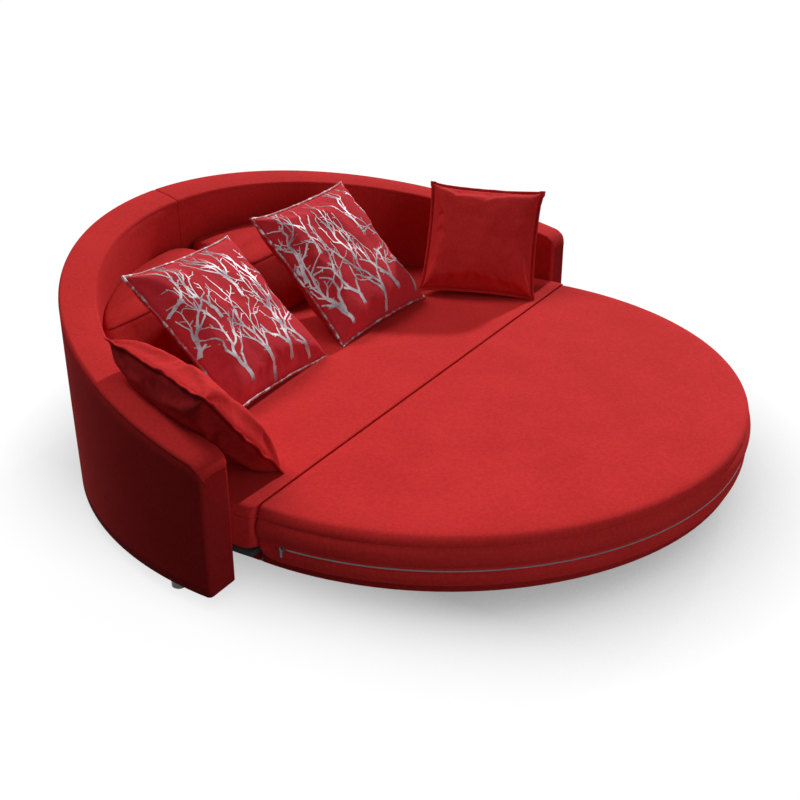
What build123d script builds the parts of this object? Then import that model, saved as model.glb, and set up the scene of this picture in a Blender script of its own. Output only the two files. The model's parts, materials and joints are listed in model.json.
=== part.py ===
from build123d import *
import math
import os

os.makedirs("parts", exist_ok=True)

# Round sofa bed. Millimetres, +Z up, the floor at z 0, the front towards -Y.

# Bed and seat surfaces
bed_radius = 1100
bed_top = 320
bed_mattress_thick = 171
seat_mattress_thick = 150
seam_gap = 3
top_edge_round = 18
foot_edge_round = 12
corner_round = 14
platform_thick = 18
bed_edge_inset = 15
fascia_thick = 17.7
fascia_drop = 6
seat_fascia_long = 150

# Curved shell that holds the back and both arms
shell_offset = 87
shell_gap = 22
shell_wall_thick = 123
arm_front_offset = 70
rim_height_at_seam = 485
rim_slope_share = 0.2485
arm_corner_round = 45
rim_outer_round = 22
rim_inner_round = 15
arm_edge_round = 14
outer_padding = 12
inner_padding = 30
top_padding = 30
front_padding = 25
half_gap = 0.3
board_thick = 18
frame_clearance = 0.5
rib_angles = (20, 58)

# Legs of the shell
glide_thick = 3
glide_radius = 20
leg_radius = 25
leg_plate_thick = 4
leg_plate_radius = 38
leg_tube_height = 50
leg_angles = (8, 48, 82)
leg_screw_radius = 2.5
leg_screw_head_radius = 4.5
leg_screw_head_thick = 2
leg_screw_depth = 14
leg_screw_circle = 31.5
leg_screw_count = 3

# Bolted joint at the middle of the back
bolt_radius = 4
bolt_head_radius = 7
bolt_head_thick = 5
bolt_stick_out = 9
nut_thick = 6.5
bolt_rise = 130
bolt_pitch = 190
bolt_count = 3

# Seat frame under the seat mattress
rail_wide = 40
front_rail_setback = 8
front_rail_margin = 40
outer_rail_margin = 200
rail_end_gap = 8
seat_foot_radius = 20
seat_foot_inset = 140
bracket_angles = rib_angles
bracket_wide = 40
bracket_leg = 60
bracket_thick = 4
bracket_screw_radius = 3
bracket_screw_head_radius = 6
bracket_screw_head_thick = 3
bracket_screw_reach = 56
bracket_screw_drop = 34

# Bed frame, runners and the channels they slide in
tube_size = 30
tube_wall = 2
runner_place_share = 0.5
runner_front_margin = 365
runner_back = 560
channel_front = 20
channel_back = 600
channel_wall = 3
channel_lip = 8
slide_clearance = 0.5
rear_tube_place = 150

# Fixed castors under the bed frame
front_castor_inset = 70
rear_castor_inset = 200
wheel_radius = 37.5
wheel_wide = 24
wheel_hub_radius = 14
wheel_edge_round = 5
wheel_recess = 3
axle_radius = 5
axle_clearance = 0.05
axle_head_radius = 8
axle_head_thick = 3
cheek_gap = 1
cheek_thick = 3
cheek_wide = 34
castor_plate_thick = 4
castor_plate_long = 80
castor_plate_wide = 64

# Zip round the front of the bed mattress
zip_drop = 113
zip_tape_wide = 11
zip_groove_deep = 4
zip_tape_proud = 0.5
zip_fit = 0.3
zip_start = 184
zip_end = 355
slider_long = 15
slider_wide = 11
slider_thick = 4
slider_gap = 0.4
stud_radius = 1.5
stud_clearance = 0.08
stud_head_radius = 3
stud_head_thick = 1.2
stud_long = 2.8
pull_long = 32
pull_wide = 8
pull_thick = 1.8
pull_clearance = 0.4

# Loose back cushions, their fronts measured back from the seam
cushion_height = 265
cushion_foot = 0.3
cushion_back_gap = 3
cushion_middle_gap = 30
cushion_front_margin = 270
cushion_front_lean = 112
cushion_corner_round = 36
cushion_levels = ((0, 10), (0.06, -4), (0.25, -30), (0.5, -42), (0.72, -30), (0.87, -6), (0.95, 14),
                  (0.99, 44), (1, 75))

# Loose pillows: side, front crown, back crown, foot x, foot y and foot z as shares of the bed's
# radius, then yaw, lean and roll
large_side_share = 0.54545
small_side_share = 0.44545
pillow_specs = {
    "pillow_pattern_left": (large_side_share, 0.07091, 0.10182, -0.34636, 0.38818, 0.02291,
                            7.2, -48, 4.5),
    "pillow_pattern_right": (large_side_share, 0.07091, 0.10909, 0.28545, 0.39273, 0.00991,
                             -0.5, -44, -0.2),
    "pillow_plain_right": (small_side_share, 0.05636, 0.08727, 0.67273, 0.22273, 0.01445,
                           -62.6, -36.5, 4),
    "pillow_plain_left": (small_side_share, 0.05636, 0.05818, -0.75091, 0.25636, 0.01864,
                          73.4, -38.2, -5.8),
}
pillow_draw_share = 0.045
pillow_tip_share = 0.03
pillow_half_levels = ((0.06, 0.995, 0.99), (0.3, 0.93, 0.9), (0.58, 0.8, 0.77), (0.82, 0.6, 0.58),
                      (0.95, 0.4, 0.4), (1, 0.2, 0.2))
pillow_levels = [(-level, tip, flank) for level, tip, flank in pillow_half_levels[::-1]]
pillow_levels += pillow_half_levels

# Sizes that follow from the ones above
shell_inner_radius = bed_radius + shell_gap
shell_outer_radius = shell_inner_radius + shell_wall_thick
front_rail_half = bed_radius - front_rail_margin
outer_rail_place = bed_radius - outer_rail_margin
runner_place = outer_rail_place * runner_place_share
cross_rail_places = (-outer_rail_place, -runner_place, runner_place, outer_rail_place)
seat_foot_place = outer_rail_place - seat_foot_inset
runner_front = bed_radius - runner_front_margin
front_tube_place = runner_front - tube_size / 2
cross_tube_places = (-front_tube_place, -rear_tube_place)
cross_tube_halves = (runner_place + tube_size, outer_rail_place)
front_castor_place = runner_place - front_castor_inset
rear_castor_place = outer_rail_place - rear_castor_inset
castor_spots = ((-front_castor_place, -front_tube_place), (front_castor_place, -front_tube_place),
                (-rear_castor_place, -rear_tube_place), (rear_castor_place, -rear_tube_place))
cushion_front_foot = bed_radius - cushion_front_margin
bed_y = -(shell_offset + shell_outer_radius - bed_radius) / 2
shell_y = bed_y + shell_offset
arm_front_y = bed_y + arm_front_offset
bed_mattress_foot = bed_top - bed_mattress_thick
seat_mattress_foot = bed_top - seat_mattress_thick
seat_platform_foot = seat_mattress_foot - platform_thick
bed_platform_foot = bed_mattress_foot - platform_thick
cross_tube_foot = bed_platform_foot - tube_size
runner_foot = cross_tube_foot - tube_size
channel_top = cross_tube_foot + slide_clearance + channel_wall
rail_tall = seat_platform_foot - channel_top
leg_height = glide_thick + leg_tube_height + leg_plate_thick
leg_ring_radius = (shell_inner_radius + inner_padding + shell_outer_radius - outer_padding) / 2
cavity_inner = shell_inner_radius + inner_padding
cavity_outer = shell_outer_radius - outer_padding
frame_inner = cavity_inner + frame_clearance
frame_outer = cavity_outer - frame_clearance
rim_lean = math.degrees(math.atan(rim_slope_share))
rim_peak = rim_height_at_seam + rim_slope_share * (shell_offset + shell_outer_radius)
tall = rim_peak + bed_top
bed_axis = Axis((0, bed_y, 0), (0, 0, 1))
shell_axis = Axis((0, shell_y, 0), (0, 0, 1))


def save(block, name):
    block.part.label = name
    export_step(block.part, "parts/" + name + ".step")


def rim_plane(drop):
    # The tilted plane of the rim, lowered by drop
    return Plane(origin=(0, bed_y, rim_height_at_seam - drop),
                 z_dir=(0, -rim_slope_share, 1))


def side_name(sign):
    return "right" if sign > 0 else "left"


def upright_plane(angle, middle_y):
    # A standing plane through a vertical axis, its x pointing outwards at the angle
    turned = math.radians(angle)
    return Plane(origin=(0, middle_y, 0), x_dir=(math.cos(turned), math.sin(turned), 0),
                 z_dir=(math.sin(turned), -math.cos(turned), 0))


def half_ring(inner, outer, foot, front, sign, gap):
    # One half of a ring round the shell centre, cut off at its front and at the middle
    with BuildPart() as ring:
        with BuildSketch(Plane.XY.offset(foot)):
            with Locations((0, shell_y)):
                Circle(outer)
                Circle(inner, mode=Mode.SUBTRACT)
            with Locations((sign * gap, front)):
                Rectangle(2 * outer, 2 * outer,
                          align=(Align.MIN if sign > 0 else Align.MAX, Align.MIN),
                          mode=Mode.INTERSECT)
        extrude(amount=tall)
    return ring


# Shell covers: padded upholstery, open below, that the frame fills
for sign in (1, -1):
    hollow = half_ring(cavity_inner, cavity_outer, 0, arm_front_y + front_padding, sign, 0)
    with BuildPart() as room:
        add(hollow.part)
        split(bisect_by=rim_plane(top_padding), keep=Keep.BOTTOM)
    body = half_ring(shell_inner_radius, shell_outer_radius, leg_height, arm_front_y, sign,
                     half_gap)
    with BuildPart() as cover:
        add(body.part)
        split(bisect_by=rim_plane(0), keep=Keep.BOTTOM)
        front_face = cover.faces().filter_by(Axis.Y).sort_by(Axis.Y)[0]
        fillet(front_face.edges().sort_by(Axis.Z)[-1], radius=arm_corner_round)
        upright = cover.faces().filter_by(Axis.Y).sort_by(Axis.Y)[0].edges().filter_by(Axis.Z)
        outer_edge = upright.sort_by(lambda e: abs(e.center().X))[-1]
        inner_edge = upright.sort_by(lambda e: abs(e.center().X))[0]
        fillet(outer_edge, radius=arm_edge_round)
        fillet(inner_edge, radius=arm_edge_round)
        add(room.part, mode=Mode.SUBTRACT)
        for angle in bracket_angles:
            turned = angle if sign > 0 else 180 - angle
            out = (math.cos(math.radians(turned)), math.sin(math.radians(turned)), 0)
            spot = Plane(origin=(0, shell_y, seat_platform_foot - bracket_screw_drop), z_dir=out)
            with BuildSketch(spot.offset(shell_inner_radius - inner_padding)):
                Circle(bracket_screw_radius)
            extrude(amount=2 * inner_padding + frame_clearance, mode=Mode.SUBTRACT)
    save(cover, "shell_cover_" + side_name(sign))

# Shell frame: bottom board, top rail, front board, end board and ribs in each half
for sign in (1, -1):
    side = side_name(sign)
    ring = half_ring(frame_inner, frame_outer, leg_height, arm_front_y + front_padding
                     + frame_clearance, sign, 0)
    with BuildPart() as bottom_board:
        add(ring.part)
        split(bisect_by=Plane.XY.offset(leg_height + board_thick), keep=Keep.BOTTOM)
        for angle in leg_angles:
            turned = math.radians(angle if sign > 0 else 180 - angle)
            here = Plane(origin=(leg_ring_radius * math.cos(turned),
                                 shell_y + leg_ring_radius * math.sin(turned), leg_height))
            with BuildSketch(here):
                with PolarLocations(leg_screw_circle, leg_screw_count):
                    Circle(leg_screw_radius)
            extrude(amount=leg_screw_depth, mode=Mode.SUBTRACT)
    save(bottom_board, "bottom_board_" + side)
    with BuildPart() as top_rail:
        add(ring.part)
        split(bisect_by=rim_plane(top_padding + frame_clearance), keep=Keep.BOTTOM)
        split(bisect_by=rim_plane(top_padding + frame_clearance + board_thick), keep=Keep.TOP)
    save(top_rail, "top_rail_" + side)
    for number, angle in enumerate(rib_angles, start=1):
        turned = math.radians(angle if sign > 0 else 180 - angle)
        flat = Plane(origin=(0, shell_y, leg_height + board_thick),
                     x_dir=(math.cos(turned), math.sin(turned), 0), z_dir=(0, 0, 1))
        screw_z = seat_platform_foot - bracket_screw_drop
        with BuildPart() as rib:
            with BuildSketch(flat):
                with Locations(((frame_inner + frame_outer) / 2, 0)):
                    Rectangle(frame_outer - frame_inner - frame_clearance, board_thick)
            extrude(amount=tall)
            split(bisect_by=rim_plane(top_padding + frame_clearance + board_thick),
                  keep=Keep.BOTTOM)
            with BuildSketch(Plane(origin=(0, shell_y, screw_z),
                                   z_dir=(math.cos(turned), math.sin(turned), 0))
                             .offset(shell_inner_radius)):
                Circle(bracket_screw_radius)
            extrude(amount=bracket_screw_reach, mode=Mode.SUBTRACT)
        save(rib, "rib_" + side + "_" + str(number))
    with BuildPart() as end_board:
        with BuildSketch(Plane.XY.offset(leg_height + board_thick)):
            with Locations((sign * board_thick / 2, shell_y + (frame_inner + frame_outer) / 2)):
                Rectangle(board_thick, frame_outer - frame_inner - 2 * frame_clearance)
        extrude(amount=tall)
        split(bisect_by=rim_plane(top_padding + frame_clearance + board_thick),
              keep=Keep.BOTTOM)
        with BuildSketch(Plane.YZ):
            with Locations((shell_y + (frame_inner + frame_outer) / 2,
                            leg_height + bolt_rise)):
                with GridLocations(0, bolt_pitch, 1, bolt_count, align=(Align.CENTER, Align.MIN)):
                    Circle(bolt_radius)
        extrude(amount=board_thick, both=True, mode=Mode.SUBTRACT)
    save(end_board, "end_board_" + side)
    with BuildPart() as front_board:
        with BuildSketch(Plane.XY.offset(leg_height + board_thick)):
            with Locations((sign * (frame_inner + frame_outer) / 2,
                            arm_front_y + front_padding + frame_clearance + board_thick / 2)):
                Rectangle(frame_outer - frame_inner - 2 * frame_clearance, board_thick)
        extrude(amount=tall)
        split(bisect_by=rim_plane(top_padding + frame_clearance + board_thick),
              keep=Keep.BOTTOM)
    save(front_board, "front_board_" + side)

# Bolts and nuts that join the two halves at the middle of the back
bolt_y = shell_y + (frame_inner + frame_outer) / 2
with BuildPart() as joint_bolts:
    for level in range(bolt_count):
        here = Plane(origin=(-board_thick, bolt_y, leg_height + bolt_rise + level * bolt_pitch),
                     z_dir=(1, 0, 0))
        with BuildSketch(here):
            Circle(bolt_radius)
        extrude(amount=2 * board_thick + bolt_stick_out)
        with BuildSketch(here):
            RegularPolygon(bolt_head_radius, 6)
        extrude(amount=-bolt_head_thick)
save(joint_bolts, "joint_bolts")
with BuildPart() as joint_nuts:
    for level in range(bolt_count):
        here = Plane(origin=(board_thick, bolt_y, leg_height + bolt_rise + level * bolt_pitch),
                     z_dir=(1, 0, 0))
        with BuildSketch(here):
            RegularPolygon(bolt_head_radius, 6)
            Circle(bolt_radius, mode=Mode.SUBTRACT)
        extrude(amount=nut_thick)
save(joint_nuts, "joint_nuts")

# Legs: a round plate on a short tube-shaped foot, and a glide under each
leg_spots = []
for sign in (1, -1):
    for angle in leg_angles:
        turned = math.radians(angle if sign > 0 else 180 - angle)
        leg_spots.append((leg_ring_radius * math.cos(turned),
                          shell_y + leg_ring_radius * math.sin(turned)))
for number, spot in enumerate(leg_spots, start=1):
    with BuildPart() as leg:
        with BuildSketch(Plane.XY.offset(glide_thick)):
            with Locations(spot):
                Circle(leg_radius)
        extrude(amount=leg_tube_height)
        chamfer(leg.edges().filter_by(GeomType.CIRCLE).sort_by(Axis.Z)[0], length=1.5)
        with BuildSketch(Plane.XY.offset(glide_thick + leg_tube_height)):
            with Locations(spot):
                Circle(leg_plate_radius)
                with PolarLocations(leg_screw_circle, leg_screw_count):
                    Circle(leg_screw_radius, mode=Mode.SUBTRACT)
        extrude(amount=leg_plate_thick)
    save(leg, "leg_" + str(number))
with BuildPart() as leg_glides:
    with BuildSketch(Plane.XY):
        with Locations(leg_spots):
            Circle(glide_radius)
    extrude(amount=glide_thick)
save(leg_glides, "leg_glides")
with BuildPart() as leg_screws:
    with BuildSketch(Plane.XY.offset(glide_thick + leg_tube_height)):
        with Locations(leg_spots):
            with PolarLocations(leg_screw_circle, leg_screw_count):
                Circle(leg_screw_radius)
    extrude(amount=leg_plate_thick + leg_screw_depth)
    with BuildSketch(Plane.XY.offset(glide_thick + leg_tube_height)):
        with Locations(leg_spots):
            with PolarLocations(leg_screw_circle, leg_screw_count):
                Circle(leg_screw_head_radius)
    extrude(amount=-leg_screw_head_thick)
save(leg_screws, "leg_screws")


# Seat platform and mattress: the same outline, cut from a circle round the shell centre
def seat_slab(radius, front, foot, thick, edge_round, side_round):
    with BuildPart() as slab:
        with BuildSketch(Plane.XY.offset(foot)):
            with Locations((0, shell_y)):
                Circle(radius)
            with Locations((0, bed_y + front)):
                Rectangle(2 * radius, 2 * radius, align=(Align.CENTER, Align.MIN),
                          mode=Mode.INTERSECT)
        extrude(amount=thick)
        if side_round:
            fillet(slab.edges().filter_by(Axis.Z), radius=side_round)
        if edge_round:
            fillet(slab.faces().sort_by(Axis.Z)[-1].edges(), radius=edge_round)
    return slab


seat_mattress = seat_slab(shell_inner_radius - cushion_back_gap, seam_gap / 2,
                          seat_mattress_foot, seat_mattress_thick, top_edge_round,
                          corner_round)
save(seat_mattress, "seat_mattress")
seat_platform = seat_slab(shell_inner_radius - cushion_back_gap, front_rail_setback,
                          seat_platform_foot, platform_thick, 0, 0)
save(seat_platform, "seat_platform")

# Short strips that carry the line of the bed's fascia on under the seat's ends
with BuildPart() as seat_fascia:
    with BuildSketch(Plane.XY.offset(bed_platform_foot - fascia_drop)):
        for sign in (1, -1):
            with Locations((sign * (bed_radius - bed_edge_inset - fascia_thick / 2),
                            bed_y + front_rail_setback)):
                Rectangle(fascia_thick, seat_fascia_long, align=(Align.CENTER, Align.MIN))
    extrude(amount=seat_platform_foot - bed_platform_foot + fascia_drop)
save(seat_fascia, "seat_fascia")

# Seat frame rails on top of the runner channels
front_rail_back = bed_y + front_rail_setback + rail_wide
with BuildPart() as seat_front_rail:
    with BuildSketch(Plane.XY.offset(channel_top)):
        with Locations((0, bed_y + front_rail_setback)):
            Rectangle(2 * front_rail_half, rail_wide, align=(Align.CENTER, Align.MIN))
    extrude(amount=rail_tall)
save(seat_front_rail, "seat_front_rail")
for number, place in enumerate(cross_rail_places, start=1):
    far = abs(place) + rail_wide / 2
    rail_end = shell_y + math.sqrt(shell_inner_radius ** 2 - far ** 2) - rail_end_gap
    with BuildPart() as seat_rail:
        with BuildSketch(Plane.XY.offset(channel_top)):
            with Locations((place, front_rail_back)):
                Rectangle(rail_wide, rail_end - front_rail_back, align=(Align.CENTER, Align.MIN))
        extrude(amount=rail_tall)
    save(seat_rail, "seat_rail_" + str(number))
for sign in (1, -1):
    with BuildPart() as seat_foot:
        with BuildSketch(Plane.XY):
            with Locations((sign * seat_foot_place, bed_y + front_rail_setback + rail_wide / 2)):
                Circle(seat_foot_radius)
        extrude(amount=channel_top)
    save(seat_foot, "seat_foot_" + side_name(sign))

# Angle brackets and screws that hang the seat platform on the shell
bracket_places = [a for a in bracket_angles] + [180 - a for a in bracket_angles]
bracket_face = math.sqrt(shell_inner_radius ** 2 - (bracket_wide / 2) ** 2)
with BuildPart() as seat_brackets:
    for angle in bracket_places:
        turned = math.radians(angle)
        out = (math.cos(turned), math.sin(turned), 0)
        side_on = Plane(origin=(0, shell_y, seat_platform_foot), x_dir=out,
                        z_dir=(math.sin(turned), -math.cos(turned), 0))
        with BuildSketch(side_on.offset(-bracket_wide / 2)):
            with BuildLine():
                Polyline((bracket_face - bracket_leg, 0), (bracket_face, 0),
                         (bracket_face, -bracket_leg),
                         (bracket_face - bracket_thick, -bracket_leg),
                         (bracket_face - bracket_thick, -bracket_thick),
                         (bracket_face - bracket_leg, -bracket_thick), close=True)
            make_face()
        extrude(amount=bracket_wide)
        spot = Plane(origin=(0, shell_y, seat_platform_foot - bracket_screw_drop), z_dir=out)
        with BuildSketch(spot.offset(bracket_face - 2 * bracket_thick)):
            Circle(bracket_screw_radius)
        extrude(amount=3 * bracket_thick, mode=Mode.SUBTRACT)
save(seat_brackets, "seat_brackets")
with BuildPart() as bracket_screws:
    for angle in bracket_places:
        turned = math.radians(angle)
        out = (math.cos(turned), math.sin(turned), 0)
        spot = Plane(origin=(0, shell_y, seat_platform_foot - bracket_screw_drop), z_dir=out)
        with BuildSketch(spot.offset(bracket_face - bracket_thick)):
            Circle(bracket_screw_radius)
        extrude(amount=bracket_screw_reach)
        with BuildSketch(spot.offset(bracket_face - bracket_thick)):
            Circle(bracket_screw_head_radius)
        extrude(amount=-bracket_screw_head_thick)
save(bracket_screws, "bracket_screws")

# Channels under the seat frame that guide the bed's runners
channel_half = tube_size / 2 + slide_clearance + channel_wall
channel_low = runner_foot - slide_clearance
for sign in (1, -1):
    with BuildPart() as channel:
        with BuildSketch(Plane(origin=(sign * runner_place, bed_y + channel_front, 0),
                               x_dir=(1, 0, 0), z_dir=(0, -1, 0))):
            with Locations((0, channel_low - channel_wall)):
                Rectangle(2 * channel_half, channel_top - channel_low + channel_wall,
                          align=(Align.CENTER, Align.MIN))
            with Locations((0, channel_low)):
                Rectangle(2 * (channel_half - channel_wall), tube_size + 2 * slide_clearance,
                          align=(Align.CENTER, Align.MIN), mode=Mode.SUBTRACT)
            with Locations((0, channel_low)):
                Rectangle(2 * (channel_half - channel_wall - channel_lip), 2 * channel_wall,
                          mode=Mode.SUBTRACT)
        extrude(amount=-(channel_back - channel_front))
    save(channel, "guide_channel_" + side_name(sign))

# Bed mattress: a half round block with a groove for the zip
zip_level = bed_top - zip_drop
with BuildPart() as bed_mattress:
    with BuildSketch(Plane.XY.offset(bed_mattress_foot)):
        with Locations((0, bed_y)):
            Circle(bed_radius)
        with Locations((0, bed_y - seam_gap / 2)):
            Rectangle(2 * bed_radius, 2 * bed_radius, align=(Align.CENTER, Align.MAX),
                      mode=Mode.INTERSECT)
    extrude(amount=bed_mattress_thick)
    fillet(bed_mattress.edges().filter_by(Axis.Z), radius=corner_round)
    fillet(bed_mattress.faces().sort_by(Axis.Z)[-1].edges(), radius=top_edge_round)
    fillet(bed_mattress.faces().sort_by(Axis.Z)[0].edges(), radius=foot_edge_round)
    with BuildSketch(upright_plane(zip_start, bed_y)):
        with Locations((bed_radius, zip_level)):
            Rectangle(2 * zip_groove_deep, zip_tape_wide + 2 * zip_fit)
    revolve(axis=bed_axis, revolution_arc=zip_end - zip_start, mode=Mode.SUBTRACT)
save(bed_mattress, "bed_mattress")

with BuildPart() as bed_platform:
    with BuildSketch(Plane.XY.offset(bed_platform_foot)):
        with Locations((0, bed_y)):
            Circle(bed_radius - bed_edge_inset - fascia_thick - half_gap)
        with Locations((0, bed_y - front_rail_setback)):
            Rectangle(2 * bed_radius, 2 * bed_radius, align=(Align.CENTER, Align.MAX),
                      mode=Mode.INTERSECT)
    extrude(amount=platform_thick)
save(bed_platform, "bed_platform")
with BuildPart() as bed_fascia:
    with BuildSketch(Plane.XY.offset(bed_platform_foot - fascia_drop)):
        with Locations((0, bed_y)):
            Circle(bed_radius - bed_edge_inset)
            Circle(bed_radius - bed_edge_inset - fascia_thick, mode=Mode.SUBTRACT)
        with Locations((0, bed_y - front_rail_setback)):
            Rectangle(2 * bed_radius, 2 * bed_radius, align=(Align.CENTER, Align.MAX),
                      mode=Mode.INTERSECT)
    extrude(amount=platform_thick + fascia_drop)
save(bed_fascia, "bed_fascia")

# Zip tape in the groove, and its slider with a hanging pull
with BuildPart() as zip_tape:
    with BuildSketch(upright_plane(zip_start + zip_fit / 2, bed_y)):
        with Locations((bed_radius - zip_groove_deep + zip_fit, zip_level)):
            Rectangle(zip_groove_deep - zip_fit + zip_tape_proud, zip_tape_wide,
                      align=(Align.MIN, Align.CENTER))
    revolve(axis=bed_axis, revolution_arc=zip_end - zip_start - zip_fit)
save(zip_tape, "zip_tape")

slider_turn = math.degrees(slider_long / 2 / bed_radius)
slider_inner = bed_radius + zip_tape_proud + slider_gap
stud_turned = math.radians(zip_start + 2 * slider_turn)
stud_out = slider_inner + slider_thick
stud_plane = Plane(origin=(stud_out * math.cos(stud_turned),
                           bed_y + stud_out * math.sin(stud_turned), zip_level),
                   x_dir=(0, 0, -1),
                   z_dir=(math.cos(stud_turned), math.sin(stud_turned), 0))
with BuildPart() as zip_slider:
    with BuildSketch(upright_plane(zip_start + slider_turn, bed_y)):
        with Locations((slider_inner, zip_level)):
            Rectangle(slider_thick, slider_wide, align=(Align.MIN, Align.CENTER))
    revolve(axis=bed_axis, revolution_arc=2 * slider_turn)
    with BuildSketch(stud_plane):
        Circle(stud_radius)
    extrude(amount=stud_long)
    with BuildSketch(stud_plane.offset(stud_long)):
        Circle(stud_head_radius)
    extrude(amount=stud_head_thick)
save(zip_slider, "zip_slider")

# The pull swings on the slider's stud and hangs down
with BuildPart() as zip_pull:
    with BuildSketch(stud_plane.offset(pull_clearance)):
        with Locations((pull_long / 2 - pull_wide / 2, 0)):
            SlotOverall(pull_long, pull_wide)
        Circle(stud_radius + stud_clearance, mode=Mode.SUBTRACT)
    extrude(amount=pull_thick)
save(zip_pull, "zip_pull")

# Frame tubes of the bed: two across, two runners below them
for number, (place, half) in enumerate(zip(cross_tube_places, cross_tube_halves), start=1):
    with BuildPart() as tube:
        with BuildSketch(Plane(origin=(-half, bed_y + place, cross_tube_foot + tube_size / 2),
                               x_dir=(0, 1, 0), z_dir=(1, 0, 0))):
            Rectangle(tube_size, tube_size)
            Rectangle(tube_size - 2 * tube_wall, tube_size - 2 * tube_wall, mode=Mode.SUBTRACT)
        extrude(amount=2 * half)
    save(tube, "bed_cross_tube_" + str(number))
for sign in (1, -1):
    with BuildPart() as runner:
        with BuildSketch(Plane(origin=(sign * runner_place, bed_y - runner_front,
                                       runner_foot + tube_size / 2),
                               x_dir=(1, 0, 0), z_dir=(0, 1, 0))):
            Rectangle(tube_size, tube_size)
            Rectangle(tube_size - 2 * tube_wall, tube_size - 2 * tube_wall, mode=Mode.SUBTRACT)
        extrude(amount=runner_front + runner_back)
    save(runner, "bed_runner_" + side_name(sign))

# Fixed castors: a fork with its plate, an axle and a wheel on each
cheek_inside = wheel_wide / 2 + cheek_gap
fork_top = cross_tube_foot
with BuildPart() as castor_forks:
    for x, y in castor_spots:
        with BuildSketch(Plane.XY.offset(fork_top)):
            with Locations((x, bed_y + y)):
                Rectangle(castor_plate_wide, castor_plate_long)
        extrude(amount=-castor_plate_thick)
        for sign in (1, -1):
            cheek = Plane(origin=(x + sign * cheek_inside, bed_y + y, wheel_radius),
                          x_dir=(0, 1, 0), z_dir=(1, 0, 0))
            with BuildSketch(cheek):
                Circle(cheek_wide / 2)
                Rectangle(cheek_wide, fork_top - castor_plate_thick - wheel_radius,
                          align=(Align.CENTER, Align.MIN))
                Circle(axle_radius, mode=Mode.SUBTRACT)
            extrude(amount=sign * cheek_thick)
save(castor_forks, "castor_forks")
with BuildPart() as castor_axles:
    for x, y in castor_spots:
        start = Plane(origin=(x - cheek_inside - cheek_thick, bed_y + y, wheel_radius),
                      x_dir=(0, 1, 0), z_dir=(1, 0, 0))
        with BuildSketch(start):
            Circle(axle_radius)
        extrude(amount=2 * (cheek_inside + cheek_thick))
        with BuildSketch(start):
            Circle(axle_head_radius)
        extrude(amount=-axle_head_thick)
        with BuildSketch(start.offset(2 * (cheek_inside + cheek_thick))):
            Circle(axle_head_radius)
        extrude(amount=axle_head_thick)
save(castor_axles, "castor_axles")
for number, (x, y) in enumerate(castor_spots, start=1):
    with BuildPart() as wheel:
        middle = Plane(origin=(x, bed_y + y, wheel_radius), x_dir=(0, 1, 0), z_dir=(1, 0, 0))
        with BuildSketch(middle):
            Circle(wheel_radius)
            Circle(axle_radius + axle_clearance, mode=Mode.SUBTRACT)
        extrude(amount=wheel_wide / 2, both=True)
        rims = wheel.edges().filter_by(GeomType.CIRCLE).group_by(SortBy.RADIUS)[-1]
        fillet(rims, radius=wheel_edge_round)
        for sign in (1, -1):
            with BuildSketch(middle.offset(sign * wheel_wide / 2)):
                Circle(wheel_radius - 2 * wheel_edge_round)
                Circle(wheel_hub_radius, mode=Mode.SUBTRACT)
            extrude(amount=-sign * wheel_recess, mode=Mode.SUBTRACT)
    save(wheel, "castor_wheel_" + str(number))

# Loose back cushions: a straight front that leans back, and a round back that follows the shell
cushion_back = shell_inner_radius - cushion_back_gap
for name, sign in (("back_cushion_right", 1), ("back_cushion_left", -1)):
    with BuildPart() as cushion:
        for rise_share, inset in cushion_levels:
            level = bed_top + cushion_foot + rise_share * cushion_height
            front_y = cushion_front_foot + rise_share * cushion_front_lean + inset
            radius = cushion_back - max(inset, 0)
            tip_x = math.sqrt(radius ** 2 - (front_y - shell_offset) ** 2)
            side_x = cushion_middle_gap / 2 + max(inset, 0)
            side_y = shell_offset + math.sqrt(radius ** 2 - side_x ** 2)
            bow_x = (side_x + tip_x) / 2
            bow_y = shell_offset + math.sqrt(radius ** 2 - bow_x ** 2)
            with BuildSketch(Plane(origin=(0, bed_y, level))) as outline:
                with BuildLine():
                    Line((sign * side_x, front_y), (sign * tip_x, front_y))
                    ThreePointArc((sign * tip_x, front_y), (sign * bow_x, bow_y),
                                  (sign * side_x, side_y))
                    Line((sign * side_x, side_y), (sign * side_x, front_y))
                make_face()
                fillet(outline.vertices(), radius=cushion_corner_round)
        loft(ruled=True)
    save(cushion, name)


def leaning_plane(foot, yaw, lean, roll, rise):
    # The middle plane of a pillow that stands on its foot and leans back
    y, l, r = math.radians(yaw), math.radians(lean), math.radians(roll)
    wide = (math.cos(r), math.sin(r) * math.sin(l), -math.sin(r) * math.cos(l))
    up = (math.sin(r), -math.cos(r) * math.sin(l), math.cos(r) * math.cos(l))
    wide = Vector(wide[0] * math.cos(y) - wide[1] * math.sin(y),
                  wide[0] * math.sin(y) + wide[1] * math.cos(y), wide[2])
    up = Vector(up[0] * math.cos(y) - up[1] * math.sin(y),
                up[0] * math.sin(y) + up[1] * math.cos(y), up[2])
    return Plane(origin=Vector(*foot) + up * rise, x_dir=wide, z_dir=wide.cross(up))


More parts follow.
